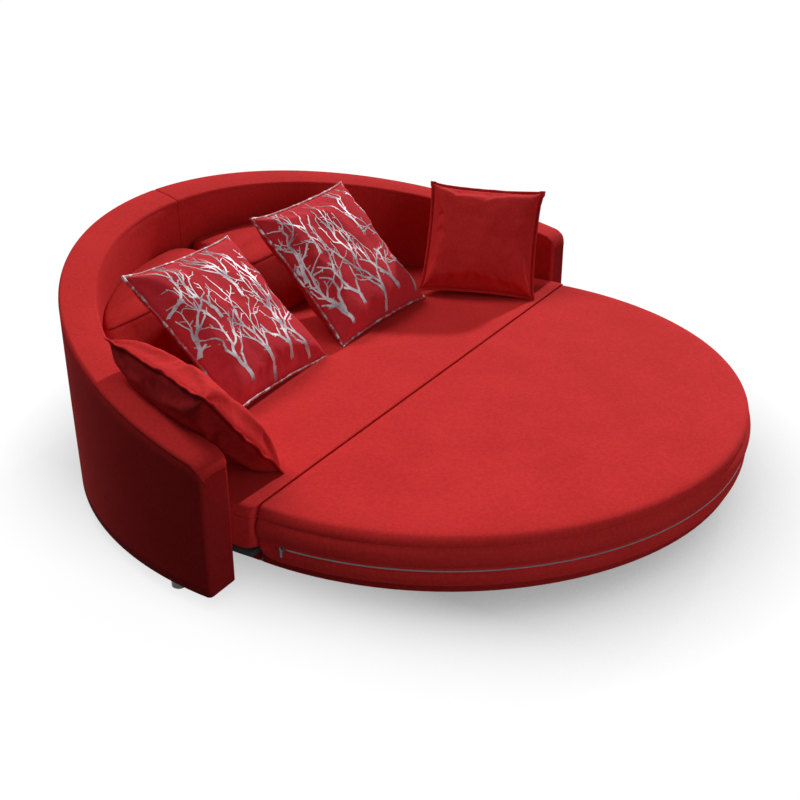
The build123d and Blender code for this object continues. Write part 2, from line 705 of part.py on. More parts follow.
# Loose pillows: crowned on both faces, with sides that draw in between pointed corners
for name, (*shares, yaw, lean, roll) in pillow_specs.items():
    side, front, back, x, y, z = (share * bed_radius for share in shares)
    middle = leaning_plane((x, bed_y + y, bed_top + z), yaw, lean, roll, side / 2)
    with BuildPart() as pillow:
        for level, tip_share, flank_share in pillow_levels:
            height = level * (front if level > 0 else back)
            tip = side / 2 * tip_share
            cut = side * pillow_tip_share * tip_share
            flank = side / 2 * flank_share * (1 - 2 * pillow_draw_share * tip_share)
            nose = (2 * tip - cut / 2) / 2
            with BuildSketch(middle.offset(height)):
                with BuildLine():
                    for quarter in range(4):
                        turn = quarter * math.pi / 2

                        def spin(u, v):
                            return (u * math.cos(turn) - v * math.sin(turn),
                                    u * math.sin(turn) + v * math.cos(turn))

                        ThreePointArc(spin(tip, cut - tip), spin(flank, 0), spin(tip, tip - cut))
                        ThreePointArc(spin(tip, tip - cut), spin(nose, nose), spin(tip - cut, tip))
                make_face()
        loft(ruled=True)
    save(pillow, name)
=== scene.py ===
# %% [markdown]
# # A round sofa bed in red microfibre
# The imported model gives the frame, the sizes and the moving bodies. This script dresses it:
# padded shell, mattresses, cushions and pillows are modelled here as cloth over foam, and the
# rigid pieces keep their own meshes and get finishes.

# %% Load the frame and keep its box
import json
import random
from math import atan2, cos, degrees, exp, pi, radians, sin, sqrt

import bpy
import numpy as np
from mathutils import Matrix, Vector
from mathutils.bvhtree import BVHTree
from mathutils.noise import noise


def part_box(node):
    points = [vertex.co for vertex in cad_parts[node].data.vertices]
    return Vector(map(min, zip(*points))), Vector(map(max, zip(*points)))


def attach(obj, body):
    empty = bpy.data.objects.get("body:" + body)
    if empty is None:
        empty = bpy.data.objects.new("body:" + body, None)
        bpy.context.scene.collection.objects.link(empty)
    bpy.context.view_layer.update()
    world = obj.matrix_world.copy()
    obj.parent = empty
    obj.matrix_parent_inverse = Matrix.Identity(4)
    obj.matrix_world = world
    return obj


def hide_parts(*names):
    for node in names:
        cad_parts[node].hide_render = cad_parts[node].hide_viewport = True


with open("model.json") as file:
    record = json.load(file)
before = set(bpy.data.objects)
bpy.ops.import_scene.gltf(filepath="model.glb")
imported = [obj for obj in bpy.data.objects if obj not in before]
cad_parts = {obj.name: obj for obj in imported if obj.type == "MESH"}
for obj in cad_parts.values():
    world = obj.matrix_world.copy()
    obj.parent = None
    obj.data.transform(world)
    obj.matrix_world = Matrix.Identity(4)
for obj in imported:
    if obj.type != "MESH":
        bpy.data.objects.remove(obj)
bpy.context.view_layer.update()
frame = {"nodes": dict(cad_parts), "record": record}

# %% [markdown]
# ## Sizes taken from the frame
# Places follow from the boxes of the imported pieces, so the dressing stays on a changed frame.

# %% Read the driving sizes
MM = 0.001
bed_low, bed_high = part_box("bed_mattress")
seat_low, seat_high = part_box("seat_mattress")
cover_low, cover_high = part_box("shell_cover_right")
SEAM_GAP = 3 * MM
BED_TOP = bed_high.z
BED_Y = bed_high.y + SEAM_GAP / 2
BED_R = BED_Y - bed_low.y
BED_MIDDLE = Vector((0, BED_Y, BED_TOP))
SHELL_OFFSET = 87 * MM
SHELL_Y = BED_Y + SHELL_OFFSET
SHELL_OUT = cover_high.y - SHELL_Y
WALL_THICK = 123 * MM
SHELL_IN = SHELL_OUT - WALL_THICK
SHELL_LOW = cover_low.z
ARM_FRONT_Y = cover_low.y
RIM_SLOPE = 0.2485
RIM_AT_SEAM = 485 * MM
print("bed radius", round(BED_R, 3), "shell", round(SHELL_IN, 3), round(SHELL_OUT, 3))

# %% [markdown]
# ## Helpers for materials
# A material is a graph of nodes. It could be clicked together, but a script can be read again.
# Each node is added with its inputs in one line: a plain value is set, an output is linked.

# %% Node helpers
def fill(socket, value):
    """Link an output into a socket, or set it to a plain value."""
    if isinstance(value, bpy.types.NodeSocket):
        socket.id_data.links.new(value, socket)
    else:
        socket.default_value = value


def set_inputs(node, *inputs, **values):
    """Fill sockets in order or by name. A name that is no socket is a property."""
    for number, value in enumerate(inputs):
        fill(node.inputs[number], value)
    for key, value in values.items():
        if key.replace("_", " ") in node.inputs:
            fill(node.inputs[key.replace("_", " ")], value)
        else:
            setattr(node, key, value)
    return node


def add_node(beside, kind, *inputs, **values):
    """A new node in the graph of a node or socket that is there."""
    node = beside.id_data.nodes.new("ShaderNode" + kind)
    return set_inputs(node, *inputs, **values)


def object_vector(shader, stretch):
    """Object coordinates, stretched where a grain runs one way."""
    place = add_node(shader, "TexCoord").outputs["Object"]
    return add_node(shader, "Mapping", Vector=place, Scale=stretch).outputs["Vector"]


def new_material(name, base, rough, stretch=(1, 1, 1)):
    """A material, its shader, and its object coordinates."""
    material = bpy.data.materials.new(name)
    material.use_nodes = True
    shader = material.node_tree.nodes["Principled BSDF"]
    set_inputs(shader, Base_Color=(*base, 1), Roughness=rough)
    return material, shader, object_vector(shader, stretch)


def noise_of(vector, scale, detail=2.0, rough=0.5):
    """The value of a noise texture."""
    return add_node(vector, "TexNoise", Vector=vector, Scale=scale, Detail=detail,
                    Roughness=rough).outputs["Fac"]


def blend_colours(factor, dark, light, low=0.3, high=0.7):
    """A colour ramp between two colours, driven by a value."""
    ramp = add_node(factor, "ValToRGB", Fac=factor)
    for stop, position, colour in zip(ramp.color_ramp.elements, (low, high), (dark, light)):
        stop.position = position
        stop.color = (*colour, 1)
    return ramp.outputs["Color"]


def mix_colours(factor, first, second, kind="MIX"):
    """Two colours mixed; each input is a socket or a plain value."""
    mix = add_node(second, "Mix", factor, data_type="RGBA", blend_type=kind)
    fill(mix.inputs[6], first)
    fill(mix.inputs[7], second)
    return mix.outputs[2]


def math_of(kind, first, second):
    """Two numbers worked into one; the second is a socket."""
    return add_node(second, "Math", first, second, operation=kind).outputs[0]


def add_bump(shader, *heights):
    """Bumps in turn, each a height socket, a strength and a distance."""
    below = {}
    for height, strength, distance in heights:
        bump = add_node(shader, "Bump", Height=height, Strength=strength, Distance=distance,
                        **below)
        below = {"Normal": bump.outputs["Normal"]}
    set_inputs(shader, **below)


# %% [markdown]
# ## Red microfibre
# The real cover is a brushed microfibre: a matte red with a soft, mottled nap. A photo of cloth
# could be wrapped on, but noise needs no seams. Three sizes of it are laid: broad clouds, a
# middle mottle, and a fine grain that also drives the bump. The outer wall, the arm fronts and
# the plain pillows' backs get a darker copy of the same cloth: painted shade for sides that
# face away from the light.

# %% Make the cloth materials
def tone_of(base, change, lift=0.0):
    """The colour changed by a share, and lifted a little."""
    return tuple(min(1, c * (1 + change) + lift) for c in base)


def make_microfibre(name, base, cloud=0.07, mottle=0.15):
    """Brushed cloth in one colour; cloud and mottle say how much its tone wanders."""
    material, shader, place = new_material(name, base, 0.92)
    streaky = object_vector(shader, (1.0, 1.0, 0.8))
    clouds = blend_colours(noise_of(place, 5.0, 3.0), tone_of(base, -cloud),
                           tone_of(base, cloud, 0.004), 0.35, 0.65)
    specks = blend_colours(noise_of(streaky, 95.0, 5.0, 0.65), tone_of(base, -mottle),
                           tone_of(base, mottle, 0.006), 0.36, 0.64)
    fibre = noise_of(streaky, 900.0, 3.0, 0.7)
    grain = blend_colours(fibre, (0.84, 0.8, 0.8), (1.0, 1.0, 1.0), 0.3, 0.62)
    soft = mix_colours(0.5, clouds, specks)
    set_inputs(shader, Base_Color=mix_colours(0.8, soft, grain, "MULTIPLY"),
               Specular_IOR_Level=0.06, Sheen_Weight=0.06, Sheen_Roughness=0.4,
               Sheen_Tint=(1.0, 0.22, 0.22, 1))
    add_bump(shader, (fibre, 0.22, 0.0008), (noise_of(place, 180.0, 4.0), 0.18, 0.0012),
             (noise_of(place, 14.0, 2.0), 0.16, 0.006))
    return material


red_cloth = make_microfibre("red_cloth", (0.66, 0.029, 0.029))
# A darker copy of the red cloth: painted shade for sides that face away from the light.
painted_shade_cloth = make_microfibre("painted_shade_cloth", (0.42, 0.0165, 0.018))
pillow_cloth = make_microfibre("pillow_cloth", (0.68, 0.040, 0.055), 0.08, 0.1)
# A much darker copy of the cloth for seam tubes: the painted shadow of a pulled seam.
painted_seam_shadow = make_microfibre("painted_seam_shadow", (0.26, 0.008, 0.011), 0.1, 0.1)
print("cloths:", len(bpy.data.materials))

# %% [markdown]
# The print is silver foil pressed on red cloth. It is finely cracked by the weave and in places
# worn thin, so it reads grey to white, not like a mirror, and a noise says where it still holds.
# The cord round these pillows is cut from the same cloth: the same recipe, with larger specks
# that cover less, gives its short silver dashes.

# %% Make the silver foil and the dashed edge cloth
UNDER_FOIL = (0.42, 0.022, 0.032, 1)


def make_foil(name, cover_low, cover_high, speck):
    """Foil over red cloth: it holds where a noise of that scale is high enough."""
    material, shader, place = new_material(name, (0.6, 0.58, 0.6), 0.5)
    tone = blend_colours(noise_of(place, 14.0, 3.0), (0.30, 0.25, 0.28),
                         (0.70, 0.67, 0.70), 0.36, 0.68)
    fine = noise_of(place, speck, 3.0, 0.6)
    cracks = blend_colours(fine, (0.42, 0.34, 0.37), (0.95, 0.95, 0.96), 0.34, 0.6)
    mottled = mix_colours(0.55, tone, cracks, "MULTIPLY")
    holds = blend_colours(noise_of(place, speck * 0.55, 4.0, 0.7), (0, 0, 0),
                          (1, 1, 1), cover_low, cover_high)
    set_inputs(shader, Base_Color=mix_colours(holds, UNDER_FOIL, mottled),
               Metallic=math_of("MULTIPLY", 0.42, holds))
    add_bump(shader, (fine, 0.3, 0.0006))
    return material


silver_foil = make_foil("silver_foil", 0.32, 0.38, 420.0)
edge_cloth = make_foil("edge_cloth", 0.53, 0.56, 62.0)
print("cloths and foils:", len(bpy.data.materials))

# %% [markdown]
# ## Finishes of the rigid pieces
# Chrome, zinc, painted steel, plastic and wood each get their own small graph. Most of it is
# hidden under the sofa, but the underside is looked at too. Chrome takes its tone from what it
# mirrors, so its own colour is kept low.

# %% Make the hard materials
def make_metal(name, base, rough, scratch):
    """A metal with fine wear in its roughness."""
    material, shader, place = new_material(name, base, rough)
    wear = add_node(place, "MapRange", Value=noise_of(place, 160.0, 4.0),
                    To_Min=max(0.02, rough - scratch), To_Max=rough + scratch)
    set_inputs(shader, Metallic=1.0, Roughness=wear.outputs["Result"])
    add_bump(shader, (noise_of(place, 700.0, 2.0), 0.03, 0.0004))
    return material


def make_plain(name, base, rough, grain, depth):
    """Plastic or paint: a little tone and a fine moulded grain."""
    material, shader, place = new_material(name, base, rough)
    set_inputs(shader, Base_Color=blend_colours(
        noise_of(place, 30.0, 3.0), tone_of(base, -0.2), tone_of(base, 0.2, 0.004)))
    add_bump(shader, (noise_of(place, grain, 3.0), 0.2, depth))
    return material


def make_wood(name, dark, light, stretch, bands):
    """Sawn wood or ply: a grain stretched along one way, with a few bands."""
    material, shader, place = new_material(name, light, 0.7, stretch)
    grain = noise_of(place, bands, 6.0, 0.6)
    set_inputs(shader, Base_Color=blend_colours(grain, dark, light, 0.35, 0.62))
    add_bump(shader, (grain, 0.25, 0.0006))
    return material


def make_woven(name, dark, light, pitch):
    """A woven tape: fine crossed ribs."""
    material, shader, place = new_material(name, light, 0.85)
    ribs = add_node(shader, "TexWave", Vector=place, Scale=pitch,
                    Distortion=0.4, bands_direction="Z").outputs["Fac"]
    set_inputs(shader, Base_Color=blend_colours(ribs, dark, light, 0.2, 0.8))
    add_bump(shader, (ribs, 0.4, 0.0004))
    return material


finishes = {"red_cloth": red_cloth, "silver_print_cloth": pillow_cloth}
for make, name, *facts in (
        (make_metal, "chrome", (0.085, 0.085, 0.09), 0.14, 0.04),
        (make_metal, "zinc", (0.62, 0.62, 0.6), 0.38, 0.1),
        (make_metal, "zip_metal", (0.30, 0.29, 0.30), 0.36, 0.08),
        (make_plain, "black_steel", (0.03, 0.03, 0.033), 0.45, 260.0, 0.0005),
        (make_plain, "black_plastic", (0.025, 0.025, 0.026), 0.55, 500.0, 0.0004),
        (make_plain, "wheel_plastic", (0.06, 0.06, 0.065), 0.5, 500.0, 0.0004),
        (make_plain, "black_board", (0.02, 0.019, 0.02), 0.9, 350.0, 0.0006),
        (make_wood, "plywood", (0.030, 0.020, 0.016), (0.060, 0.042, 0.032), (1, 6, 14), 4.0),
        (make_wood, "timber", (0.026, 0.018, 0.014), (0.055, 0.038, 0.028), (8, 1, 8), 5.0),
        (make_woven, "zip_tape", (0.16, 0.13, 0.13), (0.30, 0.25, 0.25), 260.0)):
    finishes[name] = make(name, *facts)
slot_of = {part["node"]: part["material_slot"] for part in frame["record"]["subparts"]}
for node_name, node in frame["nodes"].items():
    node.data.materials.clear()
    node.data.materials.append(finishes[slot_of[node_name]])
dull_nickel = make_metal("dull_nickel", (0.09, 0.085, 0.09), 0.42, 0.04)
for node_name in ("zip_slider", "zip_pull"):
    frame["nodes"][node_name].data.materials[0] = dull_nickel
print("finished nodes:", len(slot_of))

# %% [markdown]
# ## Helpers for cloth pieces
# A padded piece is a net of points: rings laid side by side and joined with four-sided faces.
# Blender's solids could be bent to shape, but a net puts each point where the cloth is pulled.

# %% Mesh helpers
def add_object(name, data):
    """A new object in the scene that shows that data."""
    thing = bpy.data.objects.new(name, data)
    bpy.context.collection.objects.link(thing)
    return thing


def make_mesh(name, points, faces, material, body):
    """A smooth-shaded mesh that rides on a body."""
    mesh = bpy.data.meshes.new(name)
    mesh.from_pydata([tuple(p) for p in points], [], faces)
    mesh.validate()
    mesh.polygons.foreach_set("use_smooth", [True] * len(mesh.polygons))
    mesh.materials.append(material)
    piece = add_object(name, mesh)
    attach(piece, body)
    return piece


def ring_faces(rings, size, closed=False):
    """Faces between rings of equal size; closed joins the last ring to the first."""
    faces = []
    for r in range(rings if closed else rings - 1):
        a, b = r * size, (r + 1) % rings * size
        for i in range(size):
            j = (i + 1) % size
            faces.append((a + i, a + j, b + j, b + i))
    return faces


def capped_faces(rings, size, turned=False):
    """The same, with a face over each end; turned flips them all."""
    faces = ring_faces(rings, size)
    faces += [tuple(range(size))[::-1], tuple(range((rings - 1) * size, rings * size))]
    return [face[::-1] for face in faces] if turned else faces


def word_of(side):
    """The name of a side: 1 is the half on +X, -1 the other."""
    return "right" if side > 0 else "left"


# %% [markdown]
# ## The padded shell
# The back and arms are one tall padded wall bent round the seat, in two halves that meet at the
# middle of the back. It could be a thickened curve, but its rim slopes and its edges are rounded
# differently, so each half is a closed section, set at many stations from the middle of the back
# round to the arm's front, where the rings close in.

# %% The section of the wall
OUT_ROUND = 13 * MM
IN_ROUND = 9 * MM
SEAM_DEEP = 1.8 * MM
OUTER_SEAM = 15
INNER_SEAM = OUTER_SEAM + 19


def rim_height(y):
    """The sloping rim over a point of the plan."""
    return RIM_AT_SEAM + RIM_SLOPE * (y - BED_Y)


def shell_section():
    """The closed section: distance in from the outer wall, share of its height, drop from it."""
    wide = SHELL_OUT - SHELL_IN
    section = []
    for share in np.linspace(0.0, 1.0, OUTER_SEAM):
        section.append((-1.2 * MM * sin(pi * share), share, OUT_ROUND + 7 * MM))
    section += [(SEAM_DEEP, 1.0, OUT_ROUND + 4.5 * MM), (0.0, 1.0, OUT_ROUND + 2 * MM)]
    for turn in np.linspace(0, pi / 2, 7):
        section.append((OUT_ROUND * (1 - cos(turn)), 1.0, OUT_ROUND * (1 - sin(turn))))
    for share in (0.35, 0.5, 0.65):
        across = OUT_ROUND + (wide - OUT_ROUND - IN_ROUND) * share
        section.append((across, 1.0, -2.5 * MM * sin(pi * share)))
    for turn in np.linspace(pi / 2, 0, 7):
        section.append((wide - IN_ROUND * (1 - cos(turn)), 1.0, IN_ROUND * (1 - sin(turn))))
    section += [(wide - SEAM_DEEP, 1.0, IN_ROUND + 3 * MM), (wide, 1.0, IN_ROUND + 6 * MM)]
    for share in np.linspace(1.0, 0.0, 22)[1:]:
        bow = 5 * MM * sin(pi * min(1, max(0, (share - 0.3) / 0.7)))
        section.append((wide + bow * 0.5, share, IN_ROUND + 6 * MM))
    return section + [(wide * 0.75, 0.0, 0.0), (wide * 0.25, 0.0, 0.0)]


print("points round the wall:", len(shell_section()))

# %% Build the two shell halves
ARM_CORNER = 45 * MM
ARM_EDGE = 14 * MM
PUCKER = 1.3 * MM
PUCKER_REACH = 45 * MM
SEAM_ROLL = ((0.4, 7.0), (1.2, 3.6), (3.0, 1.4), (6.0, 0.4))
BACK_STATIONS = 110
ARM_STATIONS = (0.9, 0.75, 0.6, 0.45, 0.3, 0.18, 0.08, 0.0)
SHELL_STATIONS = len(SEAM_ROLL) + BACK_STATIONS + len(ARM_STATIONS)


def rounded_in(reach, distance):
    """How far a rounded edge draws in, at a distance from where it ends."""
    return reach - sqrt(reach ** 2 - (reach - distance) ** 2) if distance < reach else 0.0


def shell_stations():
    """Angle round the back, distance ahead along the arm, and how far the ring shrinks."""
    arc, straight = pi / 2, SHELL_Y - ARM_FRONT_Y
    stations = [(arc - gap * MM / SHELL_OUT, 0.0, inset * MM) for gap, inset in SEAM_ROLL]
    stations += [(turn, 0.0, 0.0)
                 for turn in np.linspace(arc - 12 * MM / SHELL_OUT, 0.0, BACK_STATIONS)]
    return stations + [(0.0, straight * (1 - back), 0.0) for back in ARM_STATIONS]


def build_shell_half(side):
    """One half of the shell, with painted shade on its outer wall and arm's front."""
    section = shell_section()
    wide = SHELL_OUT - SHELL_IN
    points = []
    for turn, ahead, inset in shell_stations():
        to_front = max(0.0, SHELL_Y - ARM_FRONT_Y - ahead) + turn * SHELL_OUT
        edge, drop = rounded_in(ARM_EDGE, to_front), rounded_in(ARM_CORNER, to_front)
        near_seam = exp(-((pi / 2 - turn) * SHELL_OUT / PUCKER_REACH) ** 2)
        for inward, share, below in section:
            spread = (inward / wide - 0.5) * 2
            radius = SHELL_OUT - (inward - spread * (inset + edge))
            top = rim_height(SHELL_Y + radius * sin(turn) - ahead) - below - drop - inset
            low = SHELL_LOW + 0.6 * inset
            z = low + (top - low) * share
            if near_seam > 0.01:
                radius += sin(z * 95) * PUCKER * near_seam * (1 if spread > 0.8 else 0.4)
            points.append((side * radius * cos(turn), SHELL_Y + radius * sin(turn) - ahead, z))
    size = len(section)
    ring = points[-size:]
    middle = np.mean(ring, axis=0)
    for pull in (0.03, 0.12):
        points += [tuple(np.array(p) * (1 - pull) + middle * pull) for p in ring]
    faces = capped_faces(SHELL_STATIONS + 2, size, side < 0)
    piece = make_mesh("shell_padding_" + word_of(side), points, faces, red_cloth, "sofa")
    # The outer wall and the arm's front take the darker copy of the cloth: painted shade.
    piece.data.materials.append(painted_shade_cloth)
    front_faces = (SHELL_STATIONS - 1) * size
    for face in piece.data.polygons:
        if face.index % size < OUTER_SEAM - 1 or face.index >= front_faces:
            face.material_index = 1
    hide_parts("shell_cover_" + word_of(side))
    return piece


shell_pieces = [build_shell_half(side) for side in (1, -1)]
print("shell faces:", [len(p.data.polygons) for p in shell_pieces])

# %% [markdown]
# ## The two mattresses
# Bed and seat are firm foam blocks in sewn covers, each a half round with two tight corners.
# A list of insets and drops carries its outline from the underside, over the bulging side and
# its sewn seam, to the top. A bevelled solid would be quicker, but has no bulge, seam or sag.

# %% Outline of a half-round mattress
ARC_STEPS = 300
CORNER_STEPS = 12
LINE_STEPS = 120
RING_SIZE = ARC_STEPS + 2 * CORNER_STEPS + LINE_STEPS


def half_round(centre_y, radius, line_y, way, corner, inset, line_inset):
    """A closed half-round outline. way is -1 for an arc towards the front, 1 for the back."""
    radius -= inset
    corner_y = line_y + way * (line_inset + corner)
    corner_x = sqrt((radius - corner) ** 2 - (corner_y - centre_y) ** 2)
    lean = atan2((corner_y - centre_y) * way, corner_x)

    def arc(x, y, size, start, sweep, steps):
        turns = [start + sweep * step / steps for step in range(steps)]
        return [(x + size * cos(turn), y + way * size * sin(turn)) for turn in turns]

    line = [(-corner_x + 2 * corner_x * (step / LINE_STEPS), line_y + way * line_inset)
            for step in range(LINE_STEPS)]
    return (line + arc(corner_x, corner_y, corner, -pi / 2, pi / 2 + lean, CORNER_STEPS)
            + arc(0, centre_y, radius, lean, pi - 2 * lean, ARC_STEPS)
            + arc(-corner_x, corner_y, corner, pi - lean, pi / 2 + lean, CORNER_STEPS))


print("points round a mattress:", RING_SIZE)

# %% [markdown]
# The bed mattress's side is one band of cloth with a zip let into it. It bulges above the zip
# and lies flatter below, and two lips of cloth nearly close over the tape. A narrow sewn groove
# parts the band from the top panel, which rolls over softly.

# %% The band of a mattress, from foot to top
ZIP_DROP = 113 * MM
BAND_TOP = 37.0
BELOW_ZIP = 0.3
zip_lips = ((-0.9, 7), (-1.6, 4.6), (-1.0, 2.9), (0.4, 2.3), (0.6, 0.0), (0.4, -2.3),
            (-1.0, -2.9), (-1.6, -4.6), (-0.9, -7))
top_edge = ((1.0, 35.2), (2.8, 34.4), (2.8, 33.6), (0.6, 32.6), (-0.6, 30), (-0.4, 25),
            (1.0, 19), (3.8, 13), (8.5, 8), (14.5, 4.2), (22, 1.7), (30, 0.4))


def mattress_rings(thick, bulge, has_zip):
    """Pairs of inset and drop in metres, from the foot of the side up to the top edge."""
    pairs = [(12.0, thick), (6.0, thick - 1.6), (2.4, thick - 5), (0.6, thick - 10)]

    def swell_band(low, top, ease):
        for share in np.linspace(0, 1, 11):
            swell = sin(pi * share) ** 0.8 * bulge * ease
            pairs.append((-swell, low + (top - low) * share))

    foot = thick - 16
    if has_zip:
        middle = ZIP_DROP / MM
        swell_band(foot, middle + 9, BELOW_ZIP)
        pairs.extend((inset, middle + drop) for inset, drop in zip_lips)
        foot = middle - 9
    swell_band(foot, BAND_TOP, 1.0)
    return [(inset * MM, drop * MM) for inset, drop in (*pairs, *top_edge)]


# %% Build the bed and the seat mattress
SLOT_HALF = 2.4 * MM
SLOT_DEEP = 4.4 * MM
ZIP_FIRST = 183.2
ZIP_LAST = 355.0
TOP_CORNER = 14 * MM
FOOT_CORNER = 70 * MM
SWAY = 1.3 * MM
SAG = 2.2 * MM
CROWN = 2.4 * MM
TOP_RINGS = 29


def build_mattress(name, node, body, centre_y, radius, line_y, way, low, high, bulge, has_zip):
    """Rings of the outline, from a hub under the mattress to a hub on its top."""
    points = []
    hub_y = centre_y + way * radius * 0.42
    thick = high - low

    def put_ring(inset, z, corner, pull=0.0, crown=0.0):
        near_top = min(1.0, max(0.0, 1 - (high - z) / (32 * MM)))
        keep = 0.0 if inset < 0 else 1 - 0.9 * near_top
        in_slot = has_zip and abs(z - (high - ZIP_DROP)) < SLOT_HALF
        for x, y in half_round(centre_y, radius, line_y, way, corner, inset, inset * keep):
            x, y = x * (1 - pull), y * (1 - pull) + hub_y * pull
            turn = degrees(atan2(y - centre_y, x)) % 360
            if in_slot and ZIP_FIRST < turn < ZIP_LAST:
                tuck = 1 - SLOT_DEEP / radius
                x, y = x * tuck, centre_y + (y - centre_y) * tuck
            sway = dip = 0.0
            if not pull and inset < -2 * MM:
                sway = noise(Vector((x * 2.6, y * 2.6, z * 9))) * SWAY
            if crown:
                dip = noise(Vector((x * 2.2, y * 2.2, 1))) * SAG
            outward = Vector((x, y - centre_y)).normalized()
            points.append((x + outward.x * sway, y + outward.y * sway, z + crown + dip))

    for pull in (0.97, 0.7, 0.4, 0.15):
        put_ring(12 * MM, low, FOOT_CORNER - 12 * MM, pull)
    for inset, drop in mattress_rings(thick / MM, bulge, has_zip):
        down = min(1.0, max(0.0, (drop / thick - 0.62) / 0.38))
        corner = TOP_CORNER + (FOOT_CORNER - TOP_CORNER) * (1 - sqrt(1 - down ** 2))
        put_ring(inset, high - drop, max(6 * MM, corner - max(0, inset) * 0.5))
    for step in range(1, TOP_RINGS + 1):
        pull = (step / TOP_RINGS) ** 1.3 * 0.985
        edge = min(1.0, pull / 0.06)
        put_ring(30 * MM, high - 0.4 * MM, 8 * MM, pull, CROWN * edge * (2 - edge))
    faces = capped_faces(len(points) // RING_SIZE, RING_SIZE, way < 0)
    piece = make_mesh(name, points, faces, red_cloth, body)
    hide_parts(node)
    return piece


bed_pad = build_mattress("bed_pad", "bed_mattress", "bed", BED_Y, BED_R, bed_high.y, -1,
                         bed_low.z, bed_high.z, 11.0, True)
seat_pad = build_mattress("seat_pad", "seat_mattress", "sofa", SHELL_Y,
                          seat_high.y - SHELL_Y, seat_low.y, 1, seat_low.z, seat_high.z,
                          2.0, False)
print("mattress faces:", len(bed_pad.data.polygons), len(seat_pad.data.polygons))

# %% [markdown]
# The zip's teeth are two rows of small metal blocks that mesh along the tape. A striped tape
# would do from afar, but close up the light catches each one, so every tooth is a small wedge.

# %% Set the zip teeth along the bed
TEETH_FIRST = radians(185.6)
TOOTH_PITCH = 3.2 * MM
TOOTH_HALF = 0.7 * MM
TOOTH_TALL = 1.74 * MM
TOOTH_DEEP = 0.9 * MM
ROW_APART = 0.2 * MM


def build_zip_teeth():
    """Wedges in two rows, each row half a pitch behind the other."""
    inner = BED_R + 0.3 * MM
    points, faces = [], []
    count = int((radians(ZIP_LAST) - TEETH_FIRST) * inner / TOOTH_PITCH)
    for number in range(2 * count):
        upper = number % 2
        turn = TEETH_FIRST + (number // 2 + 0.5 * upper) * TOOTH_PITCH / inner
        low = BED_TOP - ZIP_DROP + (ROW_APART if upper else -ROW_APART - TOOTH_TALL)
        a = len(points)
        for radius, slim in ((inner, 1.0), (inner + TOOTH_DEEP, 0.7)):
            for way, z in ((-1, low), (1, low), (1, low + TOOTH_TALL), (-1, low + TOOTH_TALL)):
                at = turn + way * TOOTH_HALF / inner * slim
                points.append((radius * cos(at), BED_Y + radius * sin(at), z))
        faces += [tuple(a + k for k in face) for face in [(4, 5, 6, 7)] + ring_faces(2, 4)]
    teeth = make_mesh("zip_teeth", points, faces, finishes["zip_metal"], "bed")
    teeth.data.polygons.foreach_set("use_smooth", [False] * len(teeth.data.polygons))
    return count


print("zip teeth in a row:", build_zip_teeth())

# %% [markdown]
# ## Sewn edges
# Where two panels meet, upholsterers sew in a cord, or just pull the stitches tight. A painted
# line would look flat. A thin tube catches the light as a cord does, and a tube of much darker
# cloth stands for the shadow in a pulled seam: painted shadow. Each takes its path from the
# padded piece that it lies on.

# %% A tube along a path, and the seams of the shell
def lay_welt(name, path, radius, material, body, closed=False, sides=7):
    """A tube through the points of a path, lightly wavy as a sewn cord is."""
    path = [Vector(p) for p in path]
    points, count = [], len(path)
    for i, spot in enumerate(path):
        ahead = path[(i + 1) % count] if closed else path[min(count - 1, i + 1)]
        behind = path[i - 1] if closed or i else path[0]
        along = (ahead - behind).normalized()
        across = along.cross(Vector((0, 0, 1)))
        if across.length < 0.2:
            across = along.cross(Vector((0, 1, 0)))
        across.normalize()
        rise = across.cross(along).normalized()
        shift = noise(spot * 21) * radius * 0.35
        for k in range(sides):
            turn = 2 * pi * k / sides
            points.append(spot + (across * cos(turn) + rise * sin(turn)) * radius + rise * shift)
    faces = ring_faces(count, sides, True) if closed else capped_faces(count, sides)
    return make_mesh(name, points, faces, material, body)


def seam_of_shell(piece, place):
    """The path of one point of the shell's section, from the middle of the back to the arm."""
    spots = [v.co.copy() for v in piece.data.vertices]
    return spots[place::len(shell_section())][:SHELL_STATIONS]


# The outer seam is a dark tube, the painted shadow of a pulled seam; the inner one is a cord.
for piece, word in zip(shell_pieces, ("right", "left")):
    lay_welt("painted_outer_seam_shadow_" + word, seam_of_shell(piece, OUTER_SEAM), 1.5 * MM, painted_seam_shadow, "sofa")
    lay_welt("inner_seam_" + word, seam_of_shell(piece, INNER_SEAM), 2.0 * MM, red_cloth, "sofa")
print("points along a shell seam:", SHELL_STATIONS)

# %% [markdown]
# ## Back cushions
# Each loose back cushion has a straight front that leans back and a round back that lies
# against the shell. Its flat top panel is sewn to a steep front along a brow, so light from
# above stops at a clear line, with short creases of pulled stitches below it. The filling lifts
# the top towards its back. A cloth run would round the brow off, so rings are laid here too.

# %% Plan of a back cushion
CUSHION_GAP = 30 * MM
CUSHION_R = SHELL_IN - 3 * MM
FRONT_STEPS = 110
ARC_BACK_STEPS = 80
END_STEPS = 30
SMOOTHINGS = 46


